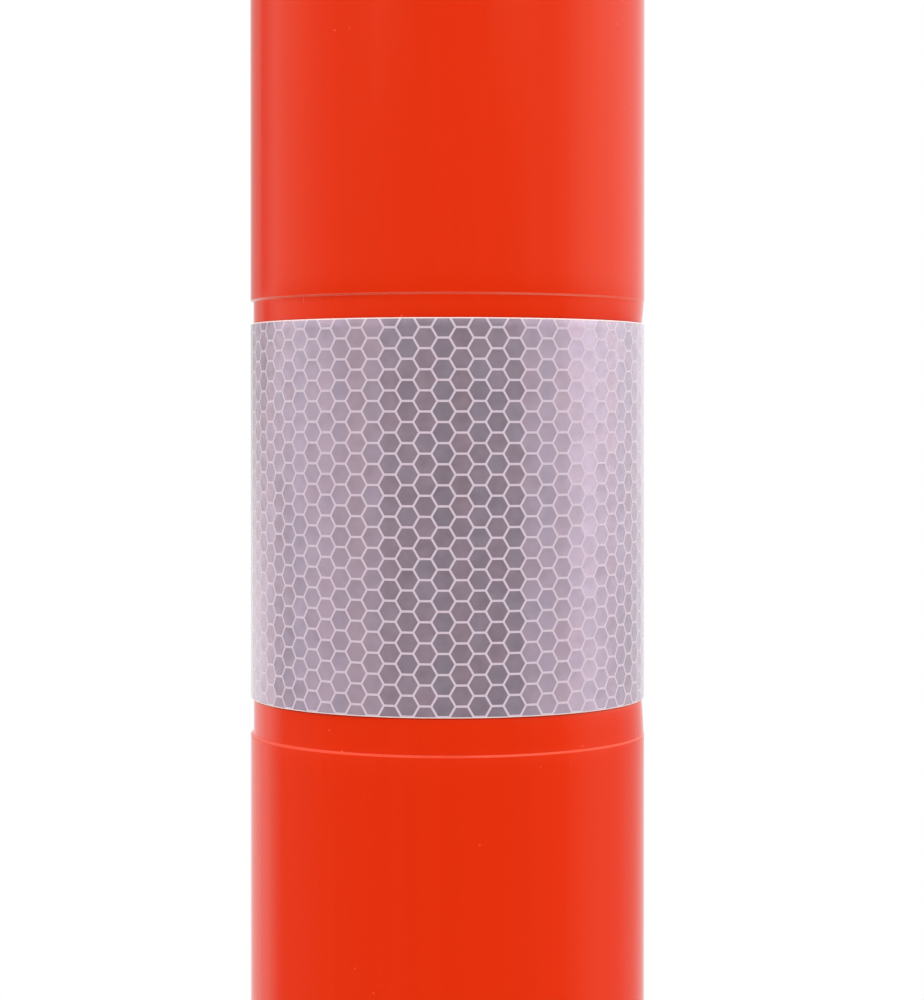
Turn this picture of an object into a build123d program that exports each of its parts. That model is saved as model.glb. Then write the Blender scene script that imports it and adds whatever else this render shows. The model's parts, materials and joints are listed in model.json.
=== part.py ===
from build123d import *
import os

# A self-righting traffic bollard: a plastic post on a ribbed rubber neck, on a round bolt-down base.
# Millimetres. +Z is up, and the origin is the centre of the base's underside.

# Overall sizes
TOTAL_HEIGHT = 750.0
POST_RADIUS = 40.0
BASE_RADIUS = 100.0

# Base plate
RIM_HEIGHT = 12.0
RIM_ROUNDING = 4.0
HUB_RADIUS = 52.0
HUB_HEIGHT = 36.0
HUB_ROUNDING = 2.5
SEAT_RADIUS = 62.0
SEAT_DEPTH = 11.0
GUSSET_COUNT = 12
GUSSET_THICKNESS = 6.0
GUSSET_OUTER_RADIUS = 92.0
GUSSET_DROP_AT_HUB = 5.0
GUSSET_HEIGHT_AT_RIM = 1.5
FIT_GAP = 0.2

# Fixing holes and their bushes
ANCHOR_COUNT = 4
ANCHOR_CIRCLE_RADIUS = 75.0
ANCHOR_FIRST_ANGLE = 45.0
BUSH_BORE_RADIUS = 6.0
BUSH_RADIUS = 9.0
BUSH_FLANGE_RADIUS = 13.0
BUSH_FLANGE_HEIGHT = 2.5

# Neck: four sections of one length, each bending about its own middle
SECTION_COUNT = 4
SECTION_LENGTH = 40.0
RIBS_PER_SECTION = 3
RIB_RADIUS = 36.5
RIB_LAND = 4.4
GROOVE_RADIUS = 32.5
GROOVE_LAND = 3.6
RIB_ROUNDING = 1.2
NECK_INNER_RADIUS = 28.5
NECK_FLANGE_RADIUS = 61.0
NECK_FLANGE_HEIGHT = 6.0
COLLAR_HEIGHT = 10.0
SPIGOT_HEIGHT = 38.0
SPIGOT_INNER_RADIUS = 30.0
SPIGOT_CLEARANCE = 0.3

# Hoops inside the neck, one between each two sections
RING_OUTER_RADIUS = 29.8
RING_INNER_RADIUS = 26.5
RING_HEIGHT = 4.0
RING_GROOVE_RADIUS = 30.0

# Clamp ring and screws under the neck's flange
CLAMP_RECESS = 1.5
CLAMP_INNER_RADIUS = 42.0
CLAMP_OUTER_RADIUS = 61.5
SCREW_COUNT = 4
SCREW_CIRCLE_RADIUS = 51.0
SCREW_RADIUS = 2.5
SCREW_HEAD_RADIUS = 5.0
SCREW_HEAD_HEIGHT = 2.5
SCREW_LENGTH = 24.0
SCREW_DRIVE_RADIUS = 1.6
SCREW_DRIVE_DEPTH = 1.6

# Post tube and its band recesses
TUBE_WALL = 4.0
RECESS_COUNT = 3
RECESS_HEIGHT = 87.0
RECESS_DEPTH = 0.6
RECESS_CHAMFER = 0.5
END_MARGIN = 41.5
TUBE_TOP = 690.0

# Retroreflective bands
BAND_HEIGHT = 75.5
BAND_THICKNESS = 0.55
BAND_RISE_IN_RECESS = 7.1
BAND_SEAM_GAP = 0.6

# Top cap
CAP_SKIRT_DEPTH = 35.0
CAP_SKIRT_WALL = 3.5
CAP_SHOULDER_HEIGHT = 8.0
WAIST_RADIUS = 29.0
WAIST_BOTTOM_RISE = 14.0
WAIST_TOP_RISE = 26.0
HEAD_RADIUS = 38.0
HEAD_BOTTOM_RISE = 33.0
HEAD_DOME_RADIUS = 66.0
HEAD_ROUNDING = 6.0
CAP_WALL = 4.0

# Blind rivets
RIVET_SHANK_RADIUS = 2.4
RIVET_HEAD_RADIUS = 4.8
RIVET_HEAD_HEIGHT = 1.6
RIVET_TAIL_RADIUS = 3.6
RIVET_TAIL_LENGTH = 2.0
RIVET_TAIL_GAP = 0.5
RIVET_FIRST_ANGLE = 45.0
TUBE_RIVET_COUNT = 4
TUBE_RIVET_RISE = 20.0
CAP_RIVET_COUNT = 3
CAP_RIVET_DROP = 18.0

# Derived places
NECK_BOTTOM = HUB_HEIGHT
NECK_TOP = NECK_BOTTOM + SECTION_COUNT * SECTION_LENGTH
TUBE_BOTTOM = NECK_TOP
TUBE_INNER_RADIUS = POST_RADIUS - TUBE_WALL
SPIGOT_RADIUS = TUBE_INNER_RADIUS - SPIGOT_CLEARANCE
FLANGE_BOTTOM = SEAT_DEPTH - NECK_FLANGE_HEIGHT
RIB_PITCH = SECTION_LENGTH / RIBS_PER_SECTION
RECESS_SPACING = (
    TUBE_TOP - TUBE_BOTTOM - 2 * END_MARGIN - RECESS_HEIGHT
) / (RECESS_COUNT - 1)
RECESS_BOTTOMS = [
    TUBE_BOTTOM + END_MARGIN + number * RECESS_SPACING for number in range(RECESS_COUNT)
]
RING_HEIGHTS = [
    NECK_BOTTOM + number * SECTION_LENGTH for number in range(1, SECTION_COUNT)
]
TUBE_RIVET_HEIGHT = TUBE_BOTTOM + TUBE_RIVET_RISE
CAP_RIVET_HEIGHT = TUBE_TOP - CAP_RIVET_DROP
BAND_NAMES = ["band_lower", "band_middle", "band_upper"]


def turned(outline):
    """Solid of revolution about Z. The closed outline is a list of (radius, height, corner rounding)."""
    points = [(radius, height) for radius, height, _ in outline]
    roundings = [rounding for _, _, rounding in outline]
    profile = make_face(FilletPolyline(*points, radius=roundings, close=True))
    return revolve(Plane.XZ * profile, Axis.Z)


def upright_cylinder(radius, bottom, top):
    """Cylinder about Z from one height to another."""
    return Pos(0, 0, bottom) * Cylinder(
        radius, top - bottom, align=(Align.CENTER, Align.CENTER, Align.MIN)
    )


def angles(count, first=0.0):
    """Evenly spaced angles about Z, in degrees."""
    return [first + number * 360.0 / count for number in range(count)]


def around(solid, radius, count, first=0.0):
    """Copies of a solid on a circle about Z, each turned with its angle."""
    return [Rot(0, 0, angle) * Pos(radius, 0, 0) * solid for angle in angles(count, first)]


def make_gusset():
    """Upright triangular web from the hub's side down to the rim, along +X."""
    hub_side = HUB_RADIUS - HUB_ROUNDING
    web = make_face(
        Polyline(
            (hub_side, RIM_HEIGHT - 1.0),
            (GUSSET_OUTER_RADIUS, RIM_HEIGHT - 1.0),
            (GUSSET_OUTER_RADIUS, RIM_HEIGHT + GUSSET_HEIGHT_AT_RIM),
            (hub_side, HUB_HEIGHT - GUSSET_DROP_AT_HUB),
            close=True,
        )
    )
    return extrude(Plane.XZ * web, GUSSET_THICKNESS / 2, both=True)


def make_base_plate():
    """Round base with a hub, gussets, a seat below for the neck's flange, and the fixing holes."""
    plate = turned(
        [
            (POST_RADIUS + FIT_GAP, SEAT_DEPTH, 0),
            (SEAT_RADIUS, SEAT_DEPTH, 0),
            (SEAT_RADIUS, 0, 0),
            (BASE_RADIUS, 0, 1.0),
            (BASE_RADIUS, RIM_HEIGHT, RIM_ROUNDING),
            (HUB_RADIUS, RIM_HEIGHT, 3.0),
            (HUB_RADIUS, HUB_HEIGHT, HUB_ROUNDING),
            (POST_RADIUS + FIT_GAP, HUB_HEIGHT, 0),
        ]
    )
    gussets = [Rot(0, 0, angle) * make_gusset() for angle in angles(GUSSET_COUNT)]
    plate = plate + gussets
    bush_hole = upright_cylinder(BUSH_RADIUS, -1, RIM_HEIGHT + 1)
    screw_hole = upright_cylinder(SCREW_RADIUS, SEAT_DEPTH - 1, CLAMP_RECESS + SCREW_LENGTH)
    plate = plate - around(bush_hole, ANCHOR_CIRCLE_RADIUS, ANCHOR_COUNT, ANCHOR_FIRST_ANGLE)
    return plate - around(screw_hole, SCREW_CIRCLE_RADIUS, SCREW_COUNT)


def make_anchor_bush():
    """Flanged steel bush that lines one fixing hole."""
    return turned(
        [
            (BUSH_BORE_RADIUS, 0, 0),
            (BUSH_RADIUS, 0, 0),
            (BUSH_RADIUS, RIM_HEIGHT, 0),
            (BUSH_FLANGE_RADIUS, RIM_HEIGHT, 0),
            (BUSH_FLANGE_RADIUS, RIM_HEIGHT + BUSH_FLANGE_HEIGHT, 0.8),
            (BUSH_BORE_RADIUS, RIM_HEIGHT + BUSH_FLANGE_HEIGHT, 0.5),
        ]
    )


def make_clamp_ring():
    """Flat steel ring below the neck's flange, countersunk for the screws."""
    ring = upright_cylinder(CLAMP_OUTER_RADIUS, CLAMP_RECESS, FLANGE_BOTTOM)
    ring = ring - upright_cylinder(CLAMP_INNER_RADIUS, 0, FLANGE_BOTTOM + 1)
    hole = upright_cylinder(SCREW_RADIUS, 0, FLANGE_BOTTOM + 1)
    countersink = Pos(0, 0, CLAMP_RECESS) * Cone(
        SCREW_HEAD_RADIUS,
        SCREW_RADIUS,
        SCREW_HEAD_HEIGHT,
        align=(Align.CENTER, Align.CENTER, Align.MIN),
    )
    return ring - around(hole + countersink, SCREW_CIRCLE_RADIUS, SCREW_COUNT)


def make_neck_screw():
    """Countersunk screw, head down, with a hexagon drive."""
    screw = turned(
        [
            (0, CLAMP_RECESS, 0),
            (SCREW_HEAD_RADIUS, CLAMP_RECESS, 0),
            (SCREW_RADIUS, CLAMP_RECESS + SCREW_HEAD_HEIGHT, 0),
            (SCREW_RADIUS, CLAMP_RECESS + SCREW_LENGTH, 0.8),
            (0, CLAMP_RECESS + SCREW_LENGTH, 0),
        ]
    )
    drive = extrude(
        Pos(0, 0, CLAMP_RECESS) * RegularPolygon(SCREW_DRIVE_RADIUS, 6), SCREW_DRIVE_DEPTH
    )
    return screw - drive


def neck_outer_outline():
    """The neck's ribbed outer outline, from the hub's top up to the collar's underside."""
    outline = [(POST_RADIUS, NECK_BOTTOM - 1.0, 0.8), (GROOVE_RADIUS, NECK_BOTTOM, 0.3)]
    for number in range(SECTION_COUNT * RIBS_PER_SECTION - 1):
        groove = NECK_BOTTOM + number * RIB_PITCH
        middle = groove + RIB_PITCH / 2
        if number > 0:
            outline.append((GROOVE_RADIUS, groove - GROOVE_LAND / 2, RIB_ROUNDING))
        outline += [
            (GROOVE_RADIUS, groove + GROOVE_LAND / 2, RIB_ROUNDING),
            (RIB_RADIUS, middle - RIB_LAND / 2, RIB_ROUNDING),
            (RIB_RADIUS, middle + RIB_LAND / 2, RIB_ROUNDING),
        ]
    last_groove = NECK_TOP - RIB_PITCH
    outline += [
        (GROOVE_RADIUS, last_groove - GROOVE_LAND / 2, RIB_ROUNDING),
        (GROOVE_RADIUS, NECK_TOP - COLLAR_HEIGHT - 1.0, RIB_ROUNDING),
    ]
    return outline


def neck_inner_outline():
    """The neck's bore from the top down, with a groove for each hoop."""
    outline = [(SPIGOT_INNER_RADIUS, NECK_TOP + SPIGOT_HEIGHT, 0)]
    outline += [(SPIGOT_INNER_RADIUS, NECK_TOP, 0), (NECK_INNER_RADIUS, NECK_TOP - 3.0, 0)]
    for height in reversed(RING_HEIGHTS):
        outline += [
            (NECK_INNER_RADIUS, height + RING_HEIGHT / 2 + FIT_GAP, 0),
            (RING_GROOVE_RADIUS, height + RING_HEIGHT / 2 + FIT_GAP, 0),
            (RING_GROOVE_RADIUS, height - RING_HEIGHT / 2 - FIT_GAP, 0),
            (NECK_INNER_RADIUS, height - RING_HEIGHT / 2 - FIT_GAP, 0),
        ]
    outline += [(NECK_INNER_RADIUS, NECK_BOTTOM, 0), (POST_RADIUS - 6.0, FLANGE_BOTTOM, 0)]
    return outline


def make_flex_neck():
    """Ribbed rubber neck in one piece: clamped flange, stem, bellows, collar and spigot."""
    outline = [
        (NECK_FLANGE_RADIUS, FLANGE_BOTTOM, 0),
        (NECK_FLANGE_RADIUS, SEAT_DEPTH, 0),
        (POST_RADIUS, SEAT_DEPTH, 0),
    ]
    outline += neck_outer_outline()
    outline += [
        (POST_RADIUS, NECK_TOP - COLLAR_HEIGHT, 1.2),
        (POST_RADIUS, NECK_TOP, 0),
        (SPIGOT_RADIUS, NECK_TOP, 0),
        (SPIGOT_RADIUS, NECK_TOP + SPIGOT_HEIGHT, 0),
    ]
    outline += neck_inner_outline()
    neck = turned(outline)
    screw_hole = upright_cylinder(SCREW_RADIUS, 0, SEAT_DEPTH + 1)
    neck = neck - around(screw_hole, SCREW_CIRCLE_RADIUS, SCREW_COUNT)
    hole_radius = RIVET_SHANK_RADIUS + SPIGOT_CLEARANCE
    return neck - radial_holes(hole_radius, TUBE_RIVET_HEIGHT, TUBE_RIVET_COUNT)


def make_stiffening_ring(height):
    """Plain hoop with rounded edges, trapped in a groove inside the neck."""
    low, high = height - RING_HEIGHT / 2, height + RING_HEIGHT / 2
    return turned(
        [
            (RING_INNER_RADIUS, low, 0.6),
            (RING_OUTER_RADIUS, low, 0.6),
            (RING_OUTER_RADIUS, high, 0.6),
            (RING_INNER_RADIUS, high, 0.6),
        ]
    )


def radial_holes(radius, height, count):
    """Rivet holes through everything outside the post's core."""
    hole = Rot(0, 90, 0) * upright_cylinder(radius, 20, POST_RADIUS + 5)
    return [
        Pos(0, 0, height) * Rot(0, 0, angle) * hole
        for angle in angles(count, RIVET_FIRST_ANGLE)
    ]


def make_post_tube():
    """Plastic tube with a shallow recess for each band."""
    outline = [(TUBE_INNER_RADIUS, TUBE_BOTTOM, 0), (POST_RADIUS, TUBE_BOTTOM, 0.8)]
    floor_radius = POST_RADIUS - RECESS_DEPTH
    for bottom in RECESS_BOTTOMS:
        top = bottom + RECESS_HEIGHT
        outline += [
            (POST_RADIUS, bottom - RECESS_CHAMFER, 0),
            (floor_radius, bottom, 0),
            (floor_radius, top, 0),
            (POST_RADIUS, top + RECESS_CHAMFER, 0),
        ]
    outline += [(POST_RADIUS, TUBE_TOP, 0.8), (TUBE_INNER_RADIUS, TUBE_TOP, 0)]
    tube = turned(outline)
    tube = tube - radial_holes(RIVET_SHANK_RADIUS, TUBE_RIVET_HEIGHT, TUBE_RIVET_COUNT)
    return tube - radial_holes(RIVET_SHANK_RADIUS, CAP_RIVET_HEIGHT, CAP_RIVET_COUNT)


def make_band(recess_bottom):
    """Tape band on a recess floor, with its two ends meeting at the back of the post."""
    low = recess_bottom + BAND_RISE_IN_RECESS
    floor_radius = POST_RADIUS - RECESS_DEPTH
    band = upright_cylinder(floor_radius + BAND_THICKNESS, low, low + BAND_HEIGHT)
    band = band - upright_cylinder(floor_radius, low - 1, low + BAND_HEIGHT + 1)
    seam = Pos(0, floor_radius, low + BAND_HEIGHT / 2) * Box(BAND_SEAM_GAP, 4.0, BAND_HEIGHT + 2)
    return band - seam


def make_top_cap():
    """Push-in cap: a skirt inside the tube, a shoulder, a waist for a chain, and a domed head."""
    skirt_inner = TUBE_INNER_RADIUS - CAP_SKIRT_WALL
    waist_inner = WAIST_RADIUS - CAP_WALL
    crown = TOTAL_HEIGHT
    cap = turned(
        [
            (0, crown - CAP_WALL - 1.0, 0),
            (waist_inner, crown - CAP_WALL - 8.0, 4.0),
            (waist_inner, TUBE_TOP + WAIST_BOTTOM_RISE, 2.0),
            (skirt_inner, TUBE_TOP + 2.0, 1.0),
            (skirt_inner, TUBE_TOP - CAP_SKIRT_DEPTH, 0),
            (TUBE_INNER_RADIUS, TUBE_TOP - CAP_SKIRT_DEPTH, 1.2),
            (TUBE_INNER_RADIUS, TUBE_TOP, 0),
            (POST_RADIUS, TUBE_TOP, 0.5),
            (POST_RADIUS, TUBE_TOP + CAP_SHOULDER_HEIGHT, 3.0),
            (WAIST_RADIUS, TUBE_TOP + WAIST_BOTTOM_RISE, 5.0),
            (WAIST_RADIUS, TUBE_TOP + WAIST_TOP_RISE, 5.0),
            (HEAD_RADIUS, TUBE_TOP + HEAD_BOTTOM_RISE, 3.0),
            (HEAD_RADIUS, crown, 0),
            (0, crown, 0),
        ]
    )
    dome = Pos(0, 0, crown - HEAD_DOME_RADIUS) * Sphere(HEAD_DOME_RADIUS)
    skirt_room = upright_cylinder(POST_RADIUS + 1, TUBE_TOP - CAP_SKIRT_DEPTH - 1, crown - 30)
    cap = cap & (dome + skirt_room)
    head_edge = cap.edges().filter_by(GeomType.CIRCLE).filter_by(
        lambda edge: abs(edge.radius - HEAD_RADIUS) < 0.01
    )
    cap = fillet(head_edge.sort_by(Axis.Z)[-1], HEAD_ROUNDING)
    return cap - radial_holes(RIVET_SHANK_RADIUS, CAP_RIVET_HEIGHT, CAP_RIVET_COUNT)


def make_rivet(height, inner_radius):
    """Blind rivet along +X with a domed head outside the post and a swollen tail inside."""
    tail_top = inner_radius - RIVET_TAIL_GAP
    rivet = turned(
        [
            (0, tail_top - RIVET_TAIL_LENGTH, 0),
            (RIVET_TAIL_RADIUS, tail_top - RIVET_TAIL_LENGTH, 0.8),
            (RIVET_TAIL_RADIUS, tail_top, 0),
            (RIVET_SHANK_RADIUS, tail_top, 0),
            (RIVET_SHANK_RADIUS, POST_RADIUS, 0),
            (RIVET_HEAD_RADIUS, POST_RADIUS, 0),
            (RIVET_HEAD_RADIUS * 0.7, POST_RADIUS + RIVET_HEAD_HEIGHT, 1.2),
            (0, POST_RADIUS + RIVET_HEAD_HEIGHT, 0),
        ]
    )
    return Pos(0, 0, height) * Rot(0, 90, 0) * rivet


def numbered(name, solids):
    """Node names with numbers, each with its solid."""
    return {f"{name}_{number}": solid for number, solid in enumerate(solids, start=1)}


def make_nodes():
    """Every sub-part of the bollard by name."""
    nodes = {"base_plate": make_base_plate()}
    nodes |= numbered(
        "anchor_bush",
        around(make_anchor_bush(), ANCHOR_CIRCLE_RADIUS, ANCHOR_COUNT, ANCHOR_FIRST_ANGLE),
    )
    nodes["clamp_ring"] = make_clamp_ring()
    nodes |= numbered("neck_screw", around(make_neck_screw(), SCREW_CIRCLE_RADIUS, SCREW_COUNT))
    nodes["flex_neck"] = make_flex_neck()
    nodes |= numbered("stiffening_ring", [make_stiffening_ring(height) for height in RING_HEIGHTS])
    nodes["post_tube"] = make_post_tube()
    for name, bottom in zip(BAND_NAMES, RECESS_BOTTOMS):
        nodes[name] = make_band(bottom)
    nodes["top_cap"] = make_top_cap()
    tube_rivet = make_rivet(TUBE_RIVET_HEIGHT, SPIGOT_INNER_RADIUS)
    cap_rivet = make_rivet(CAP_RIVET_HEIGHT, TUBE_INNER_RADIUS - CAP_SKIRT_WALL)
    nodes |= numbered("tube_rivet", around(tube_rivet, 0, TUBE_RIVET_COUNT, RIVET_FIRST_ANGLE))
    nodes |= numbered("cap_rivet", around(cap_rivet, 0, CAP_RIVET_COUNT, RIVET_FIRST_ANGLE))
    return nodes


os.makedirs("parts", exist_ok=True)
for node_name, node_solid in make_nodes().items():
    export_step(node_solid, f"parts/{node_name}.step")
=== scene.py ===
import json
import math
import random

import bmesh
import bpy
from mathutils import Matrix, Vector


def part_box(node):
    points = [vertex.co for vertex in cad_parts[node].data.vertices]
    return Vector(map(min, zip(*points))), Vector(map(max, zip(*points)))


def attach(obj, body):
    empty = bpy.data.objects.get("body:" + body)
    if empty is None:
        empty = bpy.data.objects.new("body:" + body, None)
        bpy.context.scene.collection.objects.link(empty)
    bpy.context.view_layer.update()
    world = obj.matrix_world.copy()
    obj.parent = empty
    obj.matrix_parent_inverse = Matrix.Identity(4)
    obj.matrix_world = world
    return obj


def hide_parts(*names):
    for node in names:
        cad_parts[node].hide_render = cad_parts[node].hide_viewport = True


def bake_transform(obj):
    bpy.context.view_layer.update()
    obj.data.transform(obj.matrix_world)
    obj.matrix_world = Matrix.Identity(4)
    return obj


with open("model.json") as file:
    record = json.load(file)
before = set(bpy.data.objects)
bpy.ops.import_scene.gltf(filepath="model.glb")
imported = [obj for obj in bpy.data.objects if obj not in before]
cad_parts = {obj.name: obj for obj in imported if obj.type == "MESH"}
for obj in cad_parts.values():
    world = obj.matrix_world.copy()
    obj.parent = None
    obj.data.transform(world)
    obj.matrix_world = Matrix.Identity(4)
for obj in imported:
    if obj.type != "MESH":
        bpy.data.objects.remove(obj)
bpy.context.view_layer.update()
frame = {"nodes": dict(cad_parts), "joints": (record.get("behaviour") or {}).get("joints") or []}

# A self-righting traffic bollard: glossy red-orange post with honeycomb reflective bands, on a ribbed
# neck. Metres, in the frame's axes: +Z is up, and the front is -Y.

MM = 0.001
FRONT = -math.pi / 2
BACK = math.pi / 2

# Sizes read from the frame
TUBE_LOW, TUBE_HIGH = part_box("post_tube")
BAND_LOW, BAND_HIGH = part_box("band_middle")
NECK_LOW, NECK_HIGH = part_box("flex_neck")
CAP_LOW, CAP_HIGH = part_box("top_cap")
BASE_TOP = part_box("base_plate")[1].z
POST_RADIUS = TUBE_HIGH.x
BAND_RADIUS = BAND_HIGH.x
BAND_NODES = ("band_lower", "band_middle", "band_upper")

# Post tube
TUBE_WALL = 4.0 * MM
TUBE_SEGMENTS = 288
TUBE_LIP_ROUNDING = 0.8 * MM
LONGEST_TUBE_STEP = 6 * MM
PARTING_ANGLE = FRONT - math.radians(68)
PARTING_HALF_WIDTH = 0.45 * MM
PARTING_HEIGHT = 0.07 * MM
WAVINESS = 0.035 * MM
# Waves round the tube, radians per metre of its height, phase and share
WAVES = ((3, 7, 0.0, 0.5), (11, -23, 1.7, 0.22), (2, 61, 0.6, 0.28))

# Recesses for the bands. Each is shallower on the right, except under its band.
RECESS_DEPTH = 0.6 * MM
RECESS_BELOW_BAND = 7.1 * MM
RECESS_HEIGHT = 87.0 * MM
RECESS_ABOVE_BAND = RECESS_HEIGHT - RECESS_BELOW_BAND - (BAND_HIGH.z - BAND_LOW.z)
RECESS_SLOPE = 0.3 * MM
RECESS_EDGE_RADIUS = 0.14 * MM
RECESS_SHALLOWING = 0.8
SHALLOWING_ONSET = 0.6
RIGHTWARD_SHARPNESS = 1.5
STRIP_SHARES = (0.25, 0.5, 0.7, 0.85, 0.95, 1.0)
RECESSES = [
    (low.z - RECESS_BELOW_BAND, low.z, high.z, high.z + RECESS_ABOVE_BAND)
    for low, high in (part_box(node) for node in BAND_NODES)
]
# Painted highlight along the recesses' sloping edges and painted shadow along the bands' edges: their reach
# and strengths
EDGE_PAINT_MARGIN = 0.05 * MM
LOWER_EDGE_HIGHLIGHT, UPPER_EDGE_HIGHLIGHT = 1.0, 1.5

# Witness mark of the mould, at the upper edge of the middle recess, painted pale with the edges' painted
# highlight
WITNESS_ANGLE = FRONT - math.radians(44.6)
WITNESS_HEIGHT = 1.6 * MM
WITNESS_HALF_WIDTH = 0.11 * MM
WITNESS_RISE = 0.12 * MM
WITNESS_ROOT = 0.05 * MM
WITNESS_STEPS = 8
WITNESS_HIGHLIGHT = 3.0

# Reflective bands
BAND_THICKNESS = 0.5 * MM
BAND_OVERLAP = 12.0 * MM
OVERLAP_RAMP = 3.0 * MM
HEX_SIDE = 2.29 * MM
LINE_WIDTH = 0.42 * MM
LINE_RISE = 0.012 * MM
BEVEL_WIDTH = 0.2 * MM
BEVEL_DEPTH = 0.16 * MM
PATTERN_PHASES = ((1.1 * MM, 0.6 * MM), (0.10 * MM, 2.25 * MM), (2.3 * MM, 2.9 * MM))
FIRST_BAND_SEED = 41
# Lightness of the cells, by degrees to either side of ZONE_SHIFT: painted shade facing the front and
# painted highlight to the sides, brightest from 23 to 46 degrees round; and their hue, by degrees from the
# front.
# To the front's right is positive.
ZONE_SHIFT = 2.0
PAINTED_LIGHT_ZONES = (
    (0, 0.26), (17, 0.32), (23, 0.82), (38, 0.86), (46, 0.66), (60, 0.36), (70, 0.50), (180, 0.60),
)
HUE_ZONES = (
    (-180, 0.5), (-62, 0.45), (-46, 0.70), (-25, 0.35), (0, 0.45), (20, 0.55), (32, 0.75), (45, 0.90),
    (60, 0.85), (180, 0.5),
)
COLUMN_LIGHT_SPREAD, COLUMN_HUE_SPREAD = 0.06, 0.22
CELL_LIGHT_SPREAD, CELL_HUE_SPREAD = 0.05, 0.18

# Cap: heights are above the tube's top
CAP_SKIRT_WALL = 3.5 * MM
CAP_SHOULDER_RISE = 8 * MM
CAP_WAIST_RADIUS = 29.0 * MM
CAP_WAIST_BOTTOM = 14 * MM
CAP_WAIST_TOP = 26 * MM
CAP_HEAD_RADIUS = 38.0 * MM
CAP_HEAD_BOTTOM = 33 * MM
CAP_DOME_RADIUS = 66.0 * MM
CAP_DOME_RINGS = [radius * MM for radius in (31.5, 28, 24, 20, 16, 12, 8, 4, 0)]

# Ribbed neck
SECTION_COUNT = 4
RIBS_PER_SECTION = 3
RIB_RADIUS = 36.5 * MM
RIB_LAND_HALF = 2.2 * MM
RIB_FOOT_HALF = 4.9 * MM
RIB_ROUNDING = 1.2 * MM
GROOVE_RADIUS = 32.5 * MM
NECK_INNER_RADIUS = 28.5 * MM
NECK_STEM_RADIUS = POST_RADIUS
NECK_FLANGE_HEIGHT = 6 * MM
COLLAR_HEIGHT = 10.0 * MM
SPIGOT_HEIGHT = 38.0 * MM
SPIGOT_CLEARANCE = 0.3 * MM
SPIGOT_WALL = 5.7 * MM
NECK_SEGMENTS = 160
LONGEST_NECK_STEP = 2.5 * MM

# Base
BASE_EDGE_SOFTENING = 0.5 * MM

# Camera: a long lens close to the middle band
CAMERA_DISTANCE = 516 * MM
EYE_BELOW_BAND_TOP = 18.6 * MM
LENS_MM = 91.2
CAMERA_SHIFT_X = 0.0145
CAMERA_SHIFT_Y = -0.060
CAMERA_PITCH_DEGREES = -0.54

# Brightness of the light tent's walls, by degrees round from the camera's side (to its right is positive)
TENT_ABOVE = (
    (-180, 1.0), (-158, 0.50), (-141, 0.36), (-133, 0.19), (-117, 0.64), (-92, 0.50), (-66, 0.24),
    (-45, 0.22), (-34, 0.17), (0, 0.14), (37, 0.16), (50, 0.31), (60, 0.27), (69, 0.38), (82, 0.72),
    (95, 0.84), (140, 0.72), (180, 1.0),
)
TENT_BELOW = (
    (-180, 1.0), (-158, 0.78), (-128, 0.70), (-119, 0.46), (-112, 0.20), (-92, 0.21), (-66, 0.12),
    (-40, 0.10), (0, 0.05), (37, 0.07), (50, 0.12), (69, 0.14), (82, 0.34), (95, 0.44), (113, 0.34),
    (140, 0.52), (180, 1.0),
)
OVERHEAD_LIGHT = 1.1

# Softboxes: a ring of them lights the floor and the post evenly
SOFTBOX_TARGET = (0, 0, 0.42)
SOFTBOX_COUNT = 5
SOFTBOX_RING_RADIUS = 1.5
SOFTBOX_RING_HEIGHT = 1.1
SOFTBOX_SIDE = 0.7
SOFTBOX_RADIANCE = 7.6

# Floor: a disc that fades out
FLOOR_RADIUS = 1.2
FLOOR_SEGMENTS = 96
FLOOR_FADE_START = 0.45

# Colours
RED_ORANGE = (0.80, 0.029, 0.0026)
RED_ORANGE_SATIN = (0.64, 0.027, 0.0035)
PALE_SPECK = (0.95, 0.22, 0.12)
# Painted highlight for the recesses' sloping edges and the mould mark
PAINTED_EDGE_HIGHLIGHT = (1.0, 0.17, 0.10)
# Painted shadow along the bands' edges
PAINTED_CONTACT_SHADOW = (0.30, 0.012, 0.004)
WARM_REFLECTION = (1.0, 1.0, 0.72, 1.0)
WORN_ELASTOMER = (0.75, 0.12, 0.06)
MAUVE_CELLS = ((0.56, 0.41, 0.49), (1.0, 0.74, 0.91))
SLATE_CELLS = ((0.52, 0.43, 0.53), (0.93, 0.75, 0.95))
LATTICE = (0.67, 0.55, 0.63)
# Painted highlight on the sheeting's cut edges
FILM_EDGE_HIGHLIGHT = ((0.95, 0.74, 0.68), (1.0, 0.88, 0.84))
BLACK_NYLON = ((0.018, 0.018, 0.019), (0.035, 0.035, 0.036))
ZINC = (0.62, 0.63, 0.64)
ALUMINIUM = (0.74, 0.74, 0.76)
FLOOR_GREY = (0.64, 0.64, 0.64)


# ---------------------------------------------------------------- meshes


def new_object(name, mesh):
    """Links an object for a mesh."""
    piece = bpy.data.objects.new(name, mesh)
    bpy.context.scene.collection.objects.link(piece)
    return piece


def finish_mesh(piece, sharp_degrees=35):
    """Smooth shading, with the edges sharper than an angle left crisp."""
    mesh = piece.data
    for polygon in mesh.polygons:
        polygon.use_smooth = True
    mesh.set_sharp_from_angle(angle=math.radians(sharp_degrees))


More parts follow.
